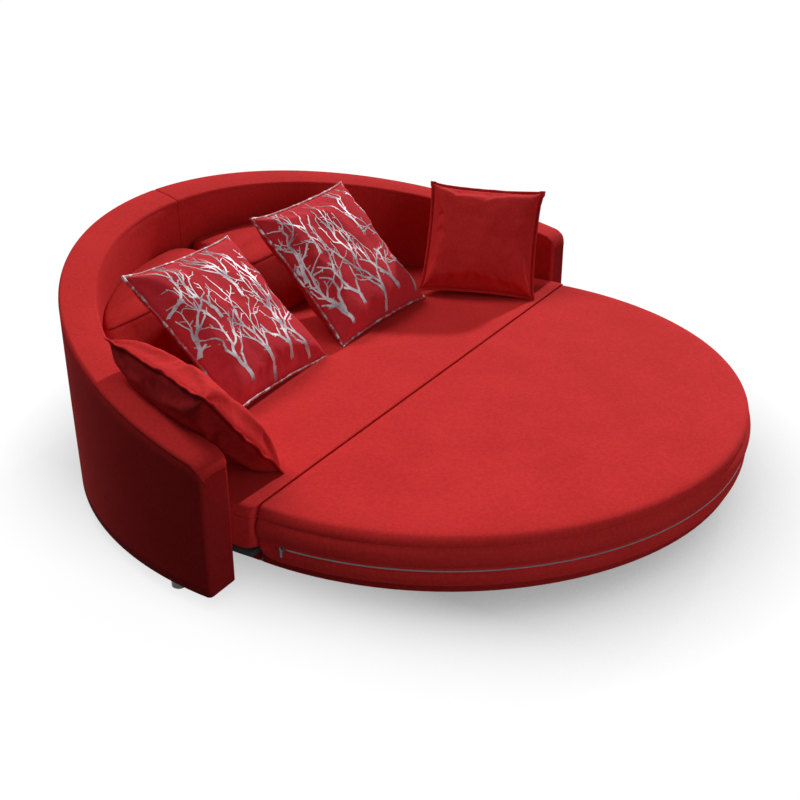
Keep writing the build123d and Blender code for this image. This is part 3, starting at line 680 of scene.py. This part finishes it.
def cushion_outline(front_y, radius, side_x, corner, tip_corner):
    """The plan of a back cushion at one level, on the +X side, corners rounded."""
    tip_x = sqrt(radius ** 2 - (front_y - SHELL_Y) ** 2)
    side_y = SHELL_Y + sqrt(radius ** 2 - side_x ** 2)
    start = atan2(front_y - SHELL_Y, tip_x)
    end = atan2(side_y - SHELL_Y, side_x)
    corners = [Vector((side_x, front_y)), Vector((tip_x, front_y))]
    outline = [corners[0].lerp(corners[1], s) for s in np.linspace(0, 1, FRONT_STEPS)]
    outline += [Vector((radius * cos(t), SHELL_Y + radius * sin(t)))
                for t in np.linspace(start, end, ARC_BACK_STEPS)[1:]]
    outline += [Vector((side_x, side_y)).lerp(corners[0], s)
                for s in np.linspace(0, 1, END_STEPS)[1:-1]]
    reach = {0: corner, FRONT_STEPS - 1: tip_corner, FRONT_STEPS + ARC_BACK_STEPS - 2: corner}
    weights = [max(exp(-((p - outline[at]).length / size) ** 2)
                   for at, size in reach.items()) for p in outline]
    for _ in range(SMOOTHINGS):
        outline = [p.lerp((outline[i - 1] + outline[(i + 1) % len(outline)]) / 2, weights[i])
                   for i, p in enumerate(outline)]
    return outline


# %% Build the back cushions
CUSHION_FOOT_Y = BED_Y + 830 * MM
CUSHION_LEAN = 112 * MM
CUSHION_LOFT = 1.03
BACK_RISE = 22 * MM
RISE_DEPTH = 170 * MM
BROW_LEVEL = 0.865
TOP_LEVEL = 0.985
cushion_low, cushion_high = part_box("back_cushion_right")
cushion_profile = [(0.0, 26), (0.006, 12), (0.03, 2), (0.08, -8), (0.16, -20), (0.27, -31),
                   (0.4, -38), (0.52, -41), (0.64, -40), (0.74, -37), (0.81, -33.5),
                   (0.845, -31), (0.857, -28.5), (BROW_LEVEL, -28), (0.873, -29), (0.89, -27),
                   (0.915, -20), (0.94, -10), (0.96, 4), (0.975, 22), (TOP_LEVEL, 44)]


def cushion_rings(high):
    """Level rings, from a hub under the cushion up its steep front to a crowned top."""
    rings = []
    for share, inset in cushion_profile:
        inset = inset * MM
        keep = max(inset, 0.0)
        ends = keep * 0.5 + max(0.0, share - 0.9) * 120 * MM
        rings.append([(p.x, p.y, cushion_low.z + share * high) for p in cushion_outline(
            CUSHION_FOOT_Y + share * CUSHION_LEAN + inset, CUSHION_R - keep * 0.4,
            CUSHION_GAP / 2 + ends, 40 * MM, 70 * MM)])
    base, top = np.array(rings[0]), np.array(rings[-1])
    for pull in np.linspace(0.05, 0.98, 18):
        lifted = top * (1 - pull) + top.mean(axis=0) * pull
        lifted[:, 2] = cushion_low.z + high * (TOP_LEVEL + 0.05 * (1 - (1 - pull) ** 2))
        rings.append([tuple(p) for p in lifted])
    return [[tuple(p) for p in base * (1 - pull) + base.mean(axis=0) * pull]
            for pull in (0.98, 0.5, 0.1)] + rings


def build_back_cushion(side):
    """A back cushion with soft swells, creases under its brow, and a painted seam shadow on the
    brow.
    """
    high = (cushion_high.z - cushion_low.z) * CUSHION_LOFT
    brow_z = cushion_low.z + BROW_LEVEL * high
    rings = cushion_rings(high)
    points, brow = [], []
    for ring in rings:
        for i, (x, y, z) in enumerate(ring):
            rise = min(1.0, max(0.0, (z - cushion_low.z) / (50 * MM)))
            at = Vector((x * 5, y * 5, z * 7))
            soft = (noise(at) * 5 + noise(at * 2.7) * 1.6) * MM * rise
            below = (brow_z - z) / (70 * MM)
            if 0 < below < 1:
                crease = abs(noise(Vector((x * 22, z * 3, 4.0)))) ** 1.5
                soft -= crease * 5 * MM * (1 - below) * min(1, below * 6)
            if i < FRONT_STEPS:
                y -= soft
            if z > brow_z:
                upper = min(1.0, (z - brow_z) / (high * (TOP_LEVEL - BROW_LEVEL)))
                behind = (y - CUSHION_FOOT_Y - CUSHION_LEAN * 0.9) / RISE_DEPTH
                z += soft * 0.5 + BACK_RISE * upper * min(1.0, max(0.0, behind))
            points.append((side * x, y, z))
        if abs(ring[0][2] - brow_z) < 0.1 * MM:
            brow = points[-len(ring):][:FRONT_STEPS]
    word = word_of(side)
    body = "back_cushion_" + word + "_body"
    faces = capped_faces(len(rings), len(rings[0]), side < 0)
    piece = make_mesh("back_pad_" + word, points, faces, red_cloth, body)
    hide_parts("back_cushion_" + word)
    # A dark tube along the brow: the painted shadow of its seam.
    lay_welt("painted_brow_seam_shadow_" + word, brow, 1.6 * MM, painted_seam_shadow, body)
    return piece


back_pads = [build_back_cushion(side) for side in (1, -1)]
print("back cushion faces:", len(back_pads[0].data.polygons))

# %% [markdown]
# ## Scatter pillows
# A pillow is two square panels sewn round the edge and stuffed, so it swells in the middle, its
# sides draw in, and spare cloth wrinkles near the seam. It could be shaped by hand, but a cloth
# simulation gives the wrinkles for nothing: a slack flat pillow is filled with air, kept as a
# plain mesh, and set at its lean. Feet are measured from the middle of the bed's straight edge.

# %% Sizes and places of the pillows
pillow_facts = ("side", "front", "back", "foot", "yaw", "lean", "roll", "flange", "seed")
PILLOWS = {word: dict(zip(pillow_facts, facts)) for word, *facts in (
    ("pattern_left", 0.600, 0.078, 0.086, (-0.382, 0.425, 0.009), 7.0, -48.0, 4.5, 0.0, 3),
    ("pattern_right", 0.600, 0.078, 0.112, (0.318, 0.432, 0.007), -0.6, -44.0, -0.2, 0.0, 8),
    ("plain_right", 0.500, 0.070, 0.092, (0.736, 0.243, 0.008), -63.0, -36.5, 3.8, 0.012, 5),
    ("plain_left", 0.495, 0.070, 0.076, (-0.828, 0.282, 0.013), 73.4, -38.2, -5.8, 0.013, 6))}


def pillow_place(spec):
    """The matrix that sets a flat pillow at its foot, yaw, lean and roll."""
    turn = Matrix.Identity(3)
    for key, axis in (("yaw", "Z"), ("lean", "X"), ("roll", "Y")):
        turn = turn @ Matrix.Rotation(radians(spec[key]), 3, axis)
    wide, up = turn @ Vector((1, 0, 0)), turn @ Vector((0, 0, 1))
    place = Matrix((wide, up, wide.cross(up))).transposed().to_4x4()
    place.translation = Vector(spec["foot"]) + BED_MIDDLE + up * spec["side"] / 2
    return place


print("pillows:", *PILLOWS)

# %% A slack pillow, flat on its own plane
PILLOW_STEPS = 56
SLACK = 1.07
DRAW_IN = 0.035


def slack_point(spec, u, v, face):
    """A point of the slack pillow: u and v run from -1 to 1, face is 1 in front, -1 behind."""
    half = (spec["side"] / 2 - spec["flange"]) * SLACK
    x = half * u * (1 - DRAW_IN * u * u * (1 - v * v))
    y = half * v * (1 - DRAW_IN * v * v * (1 - u * u))
    full = max(0.0, (1 - abs(u) ** 2.2) * (1 - abs(v) ** 2.2))
    high = spec["front"] if face > 0 else spec["back"]
    seed = Vector((spec["seed"] * 7.3, spec["seed"] * 1.7, face * 3.1))
    loose = noise(Vector((x * 8, y * 8, 0)) + seed) * 9 * MM
    fine = noise(Vector((x * 24, y * 24, 0)) + seed) * 3.0 * MM
    z = max(high * 0.82 * full ** 0.5 + (loose + fine) * min(1.0, full * 3), 0.0)
    return Vector((x, y, z * face))


def slack_pillow(spec):
    """Points and faces of both panels, and the order of their shared border."""
    steps = PILLOW_STEPS
    ticks = [2 * i / steps - 1 for i in range(steps + 1)]
    ticks = [0.75 * t + 0.25 * sin(t * pi / 2) for t in ticks]
    points, faces, index = [], [], {}
    for face in (1, -1):
        for i, u in enumerate(ticks):
            for j, v in enumerate(ticks):
                edge = i in (0, steps) or j in (0, steps)
                if edge and face < 0:
                    index[face, i, j] = index[1, i, j]
                    continue
                index[face, i, j] = len(points)
                points.append(slack_point(spec, u, v, face))
    for i in range(steps):
        for j in range(steps):
            for face in (1, -1):
                ring = [index[face, i + a, j + b] for a, b in ((0, 0), (1, 0), (1, 1), (0, 1))]
                faces.append(tuple(ring if face > 0 else ring[::-1]))
    border = [(i, 0) for i in range(steps)] + [(steps, j) for j in range(steps)]
    border += [(i, steps) for i in range(steps, 0, -1)] + [(0, j) for j in range(steps, 0, -1)]
    return points, faces, [index[1, i, j] for i, j in border]


# %% Fill a pillow with air
PUFF_FRAMES = 16
PUFF_REACH = 26 * MM


def puff_up(mesh):
    """Run the cloth, but hold each point within reach of its start."""
    start = [v.co.copy() for v in mesh.vertices]
    bag = add_object("bag", mesh)
    cloth = bag.modifiers.new("air", "CLOTH")
    for name, value in dict(quality=5, mass=0.3, tension_stiffness=20, compression_stiffness=12,
                            shear_stiffness=8, bending_stiffness=0.4, use_pressure=True,
                            uniform_pressure_force=4.0).items():
        setattr(cloth.settings, name, value)
    cloth.settings.effector_weights.gravity = 0
    cloth.collision_settings.use_collision = False
    cloth.point_cache.frame_start, cloth.point_cache.frame_end = 1, PUFF_FRAMES
    for number in range(1, PUFF_FRAMES + 1):
        bpy.context.scene.frame_set(number)
    graph = bpy.context.evaluated_depsgraph_get()
    filled = [v.co.copy() for v in bag.evaluated_get(graph).data.vertices]
    bpy.context.scene.frame_set(1)
    bpy.data.objects.remove(bag)
    kept = []
    for old, new in zip(start, filled):
        move = new - old
        if move.length > PUFF_REACH:
            move = move * (PUFF_REACH / move.length)
        kept.append(old + move)
    return kept


# %% [markdown]
# The plain pillows end in a flat flange of doubled cloth, which never lies quite flat, and the
# printed ones in a thick cord. A stiff frame would be easier, but both follow the filled border.

# %% Sew the edge on a pillow
flange_shape = ((-0.25, 1.6), (0.05, 0.8), (0.25, 2.8), (0.6, 3.8), (0.9, 2.8), (1.0, 0.0),
                (0.9, -2.8), (0.6, -3.8), (0.25, -2.8), (0.05, -0.8), (-0.25, -1.6))
WAVY_LEFT = 13 * MM
WAVY_RIGHT = 4 * MM
EDGE_CORD = 6.4 * MM


def edge_frame(border):
    """Each border point, and the way outwards from it in the pillow's own plane."""
    frames = []
    for i, spot in enumerate(border):
        along = border[(i + 1) % len(border)] - border[i - 1]
        frames.append((spot, Vector((along.y, -along.x, 0)).normalized()))
    return frames


def sew_flange(word, spec, border, place):
    """A doubled strip of cloth round the border, wavy towards its free edge."""
    points = []
    wavy = WAVY_LEFT if "left" in word else WAVY_RIGHT
    for spot, outward in edge_frame(border):
        seed = Vector((spot.x * 19, spot.y * 19, spec["seed"]))
        corner = min(1, max(0, abs(spot.x) + abs(spot.y) - spec["side"] * 0.86) / 0.05)
        for out, rise in flange_shape:
            wave = noise(seed) * wavy * max(0.15, out)
            away = outward * spec["flange"] * out * (1 + 0.1 * corner)
            points.append(place @ (spot + away + Vector((0, 0, rise * MM + wave))))
    faces = ring_faces(len(border), len(flange_shape), True)
    return make_mesh("flange_" + word, points, faces, red_cloth, f"pillow_{word}_body")


def sew_corded_edge(word, border, place):
    """A cord in printed cloth along the border."""
    path = [place @ (spot + outward * 1.5 * MM) for spot, outward in edge_frame(border)]
    return lay_welt("corded_edge_" + word, path, EDGE_CORD, edge_cloth,
                    f"pillow_{word}_body", True, 9)


# %% [markdown]
# The silver print has the shape of bare twigs. An image would be the usual way. Here each twig
# is grown by rule, from a seed: it wanders, thins, forks to alternate sides, puts out short buds,
# and stops where another twig already stands, so the print never clots. Each is then laid on the
# filled pillow as a thin tapering strip, so its edges stay crisp from near and far.

# %% Grow the twigs of one pillow
TWIG_STEP = 8 * MM
TWIG_THIN = 2.6 * MM
TWIG_ROOM = 12 * MM


def grow_twigs(seed, half, trunks):
    """Strokes on the flat panel: each is a list of x, y and width."""
    chance = random.Random(seed)
    between = chance.uniform
    strokes, taken = [], set()

    def cell(x, y):
        return int(x // TWIG_ROOM), int(y // TWIG_ROOM)

    def grow(x, y, heading, lean, width, reach, depth):
        stroke = [(x, y, width * 0.35 if depth == 0 else width), (x, y, width)]
        own = {cell(x, y)}
        travelled = 0.0
        way = chance.choice((-1, 1))
        next_fork = between(0.03, 0.06)
        while travelled < reach and width > TWIG_THIN:
            heading += chance.gauss(0, 0.16) - 0.12 * (heading - lean)
            x += TWIG_STEP * sin(heading)
            y += TWIG_STEP * cos(heading)
            if abs(x) > half or abs(y) > half:
                break
            here = cell(x, y)
            if here in taken and here not in own and depth > 0 and travelled > 0.03:
                break
            own.add(here)
            travelled += TWIG_STEP
            width *= 0.982
            stroke.append((x, y, width * between(0.92, 1.08)))
            if travelled > next_fork and depth < 4:
                way = -way
                spread = between(0.45, 0.85)
                taken.update(own)
                grow(x, y, heading + way * spread, lean + way * spread * 0.45,
                     width * between(0.6, 0.85),
                     (reach - travelled) * between(0.45, 0.85) + 0.03, depth + 1)
                heading -= way * between(0.12, 0.3)
                width *= 0.9
                next_fork = travelled + between(0.03, 0.06)
            elif chance.random() < 0.14:
                bud = heading + chance.choice((-1, 1)) * between(0.6, 1.1)
                long = between(0.010, 0.022)
                tip = (x + long * sin(bud), y + long * cos(bud), 2.2 * MM)
                strokes.append([(x, y, 3.4 * MM), tip])
        taken.update(own)
        strokes.append(stroke)

    for x, y, heading, width, reach in trunks:
        grow(x * half, y * half, heading, heading * 0.7, width * MM, reach, 0)
    return strokes


# %% Lay the twigs on a pillow
DOWN = Vector((0, 0, -1))


def lay_print(word, spec, points, faces, trunks, place):
    """Strips of foil that follow the front panel, a hair above the cloth."""
    half = spec["side"] / 2 - 8 * MM
    panel = BVHTree.FromPolygons(points, faces)
    strip_points, strip_faces = [], []
    strokes = grow_twigs(spec["seed"], half, trunks)
    for number, stroke in enumerate(strokes):
        lift = (0.5 + 0.35 * (number % 5) / 5) * MM
        before = None
        for k, (x, y, width) in enumerate(stroke):
            nx, ny, _ = stroke[min(len(stroke) - 1, k + 1)]
            px, py, _ = stroke[max(0, k - 1)]
            along = Vector((nx - px, ny - py, 0)).normalized()
            across = Vector((-along.y, along.x, 0))
            hits = [panel.ray_cast(Vector((x, y, 1)) + across * width * share, DOWN)[:2]
                    for share in (-0.5, 0.0, 0.5)]
            if any(hit is None or normal.z < 0.3 or hit.z < 2 * MM for hit, normal in hits):
                before = None
                continue
            first = len(strip_points)
            strip_points += [place @ (hit + normal * lift) for hit, normal in hits]
            if before is not None:
                strip_faces += [(before, before + 1, first + 1, first),
                                (before + 1, before + 2, first + 2, first + 1)]
            before = first
    print(word, "twigs:", len(strokes))
    return make_mesh("silver_twigs_" + word, strip_points, strip_faces, silver_foil,
                     f"pillow_{word}_body")


# %% Where the trunks start
# Each trunk: x and y as shares of half the pillow, heading, width in millimetres, and reach.
TRUNKS = {
    "pattern_left": [
        (-0.60, -0.84, -0.3, 19, 0.7), (-0.14, -0.95, 0.0, 19, 0.8), (0.26, -0.84, -0.2, 19, 0.75),
        (0.64, -0.93, 0.05, 17, 0.8), (-0.97, -0.35, 0.45, 15, 0.55), (0.93, -0.5, -0.3, 14, 0.6),
        (-0.45, -0.02, -0.2, 14, 0.46), (0.1, 0.1, 0.2, 14, 0.42), (-0.96, 0.3, 0.6, 12, 0.36),
        (0.55, 0.25, -0.15, 12, 0.36)],
    "pattern_right": [
        (-0.78, -0.86, 0.1, 17, 0.7), (-0.42, -0.72, -0.25, 19, 0.7), (0.05, -0.93, 0.05, 19, 0.8),
        (0.42, -0.76, -0.12, 19, 0.7), (0.8, -0.9, -0.15, 16, 0.75),
        (-0.12, -0.15, 0.25, 14, 0.48), (0.95, -0.2, -0.5, 13, 0.5), (-0.95, -0.1, 0.4, 14, 0.5),
        (-0.6, 0.15, -0.25, 13, 0.4), (0.4, 0.2, 0.1, 12, 0.38)],
}


# %% Build all four pillows
def build_pillow(word, spec):
    """Fill, set at its lean, rest on the seat, sew the edge and lay the print."""
    points, faces, border = slack_pillow(spec)
    mesh = bpy.data.meshes.new("slack_" + word)
    mesh.from_pydata(points, [], faces)
    place = pillow_place(spec)
    settled = [place @ p for p in puff_up(mesh)]
    for spot in settled:
        spot.z = max(spot.z, BED_TOP + 1.2 * MM)
    printed = "pattern" in word
    piece = make_mesh("scatter_" + word, settled, faces, pillow_cloth if printed else red_cloth,
                      f"pillow_{word}_body")
    soften = piece.modifiers.new("soften", "SUBSURF")
    soften.levels = soften.render_levels = 1
    back = place.inverted()
    filled = [back @ p for p in settled]
    loop = [filled[i] for i in border]
    if printed:
        sew_corded_edge(word, loop, place)
        lay_print(word, spec, filled, faces, TRUNKS[word], place)
    else:
        # The back panels of the plain pillows take the darker copy of the cloth: painted shade.
        piece.data.materials.append(painted_shade_cloth)
        for face in piece.data.polygons:
            face.material_index = face.index % 2
        sew_flange(word, spec, loop, place)
    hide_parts("pillow_" + word)
    print(word, "width", round(max(p.x for p in loop) * 2, 3))
    return piece


pillows = {word: build_pillow(word, spec) for word, spec in PILLOWS.items()}

# %% [markdown]
# ## Camera
# The camera stands where the reference view was taken from. Its place is measured from the
# middle of the bed's straight edge, and its turn is the way its back points.

# %% Place the camera
CAMERA_FROM_BED = Vector((-3.3854, -1.9008, 1.8085))
CAMERA_BACK = Vector((-0.76551, -0.46671, 0.44291))
CAMERA_TURN = radians(0.09)
FOCAL_PX = 1166.17
FRAME_PX = 800
SENSOR_MM = 36.0

camera_data = bpy.data.cameras.new("camera")
camera_data.sensor_width = SENSOR_MM
camera_data.lens = FOCAL_PX * SENSOR_MM / FRAME_PX
camera = add_object("camera", camera_data)
back_way = (Matrix.Rotation(CAMERA_TURN, 3, "Z") @ CAMERA_BACK).normalized()
side_way = Vector((-back_way.y, back_way.x, 0)).normalized()
up_way = back_way.cross(side_way)
camera.matrix_world = Matrix((side_way, up_way, back_way)).transposed().to_4x4()
camera.location = CAMERA_FROM_BED + BED_MIDDLE
bpy.context.scene.camera = camera
print("camera at", [round(c, 3) for c in camera.location])

# %% [markdown]
# ## Light
# A low sun from the right grazes the tops and leaves the fronts in soft shade. A wide pale sky
# behind lights every top, and a weak fill opens the shade. A real white floor throws light up on
# the low sides of the mattresses. A bright floor here would light the whole sofa, so a weak sun
# linked to those two pieces stands for it. Strengths are shares of full daylight.

# %% Set the lights
LIGHTS = {"side_sun": (0.74, (0.865, 0.06, 0.50), 3.0),
          "back_sky": (0.41, (0.0, 0.555, 0.83), 28.0),
          "front_fill": (0.15, (-0.05, -0.85, 0.28), 40.0),
          "floor_glow": (0.20, (-0.62, -0.78, 0.02), 30.0)}


def add_sun(name, share, where, spread):
    """A sun that shines from that side, as wide as spread says in degrees."""
    data = bpy.data.lights.new(name, "SUN")
    data.energy, data.angle = share * pi, radians(spread)
    lamp = add_object(name, data)
    lamp.location = where
    lamp.rotation_euler = (Vector() - Vector(where)).to_track_quat("-Z", "Y").to_euler()
    return lamp


suns = {name: add_sun(name, *light) for name, light in LIGHTS.items()}
low_sides = bpy.data.collections.new("low_sides")
for piece in (bed_pad, seat_pad):
    low_sides.objects.link(piece)
suns["floor_glow"].light_linking.receiver_collection = low_sides
print("suns:", list(suns))

# %% [markdown]
# ## Sky and floor
# The ground is plain white, but a white room would wash the colours out. So sky and floor are
# white only for the camera and for mirrors. The floor still shows a soft shade where the sofa
# covers the sky over it, and less of it on the left, where light comes in under the edge.

# %% Make the sky and the floor
SKY_LIGHT = 0.11
FLOOR_TONE = 0.035
FLOOR_FAR = 40.0
SHADE_REACH = 0.42
SHADE_STARTS_X = -1.32
SHADE_FULL_X = -0.8


def seen_by(beside, *rays):
    """1 for those kinds of rays, 0 for others."""
    path = add_node(beside, "LightPath")
    seen = path.outputs[rays[0]]
    for ray in rays[1:]:
        seen = math_of("MAXIMUM", seen, path.outputs[ray])
    return seen


def make_world():
    """A sky that is dim to the object and white to camera and mirrors."""
    world = bpy.data.worlds.new("pale_sky")
    world.use_nodes = True
    nodes = world.node_tree.nodes
    white = set_inputs(nodes["Background"], Color=(1, 1, 1, 1), Strength=1.0)
    dim = add_node(white, "Background", Strength=SKY_LIGHT)
    seen = seen_by(dim, "Is Camera Ray", "Is Glossy Ray", "Is Transmission Ray")
    mix = add_node(dim, "MixShader", seen, dim.outputs[0], white.outputs[0])
    set_inputs(nodes["World Output"], Surface=mix.outputs[0])
    bpy.context.scene.world = world


def floor_shade(place):
    """How bright the floor looks: less where the sky is covered, hardly so on the left."""
    sky = add_node(place, "AmbientOcclusion", samples=8, Distance=SHADE_REACH)
    covered = math_of("SUBTRACT", 1.0, sky.outputs["AO"])
    across = add_node(place, "SeparateXYZ", place).outputs["X"]
    less_left = add_node(place, "MapRange", Value=across, From_Min=SHADE_STARTS_X,
                         From_Max=SHADE_FULL_X, To_Min=0.12).outputs["Result"]
    return add_node(place, "MapRange", Value=math_of("MULTIPLY", covered, less_left),
                    To_Min=0.99, To_Max=0.22).outputs["Result"]


def make_floor():
    """A pale floor: white to the camera, with a soft shadow, and dim to the cloth."""
    material, shader, place = new_material("pale_floor", (FLOOR_TONE,) * 3, 0.9)
    tone = blend_colours(noise_of(place, 3.0), (FLOOR_TONE - 0.002,) * 3, (FLOOR_TONE + 0.002,) * 3)
    set_inputs(shader, Specular_IOR_Level=0.0, Base_Color=tone)
    lift = add_node(shader, "Emission", Strength=floor_shade(place))
    both = add_node(shader, "AddShader", shader.outputs[0], lift.outputs[0])
    seen = seen_by(shader, "Is Camera Ray", "Is Glossy Ray")
    mix = add_node(shader, "MixShader", seen, shader.outputs[0], both.outputs[0])
    set_inputs(material.node_tree.nodes["Material Output"], Surface=mix.outputs[0])
    mesh = bpy.data.meshes.new("floor")
    corners = [(x * FLOOR_FAR, y * FLOOR_FAR, 0) for x, y in ((-1, -1), (1, -1), (1, 1), (-1, 1))]
    mesh.from_pydata(corners, [], [(0, 1, 2, 3)])
    mesh.materials.append(material)
    add_object("floor", mesh)


make_world()
make_floor()
bpy.context.scene.view_settings.view_transform = "Standard"
print("sky light", SKY_LIGHT, "floor tone", FLOOR_TONE)
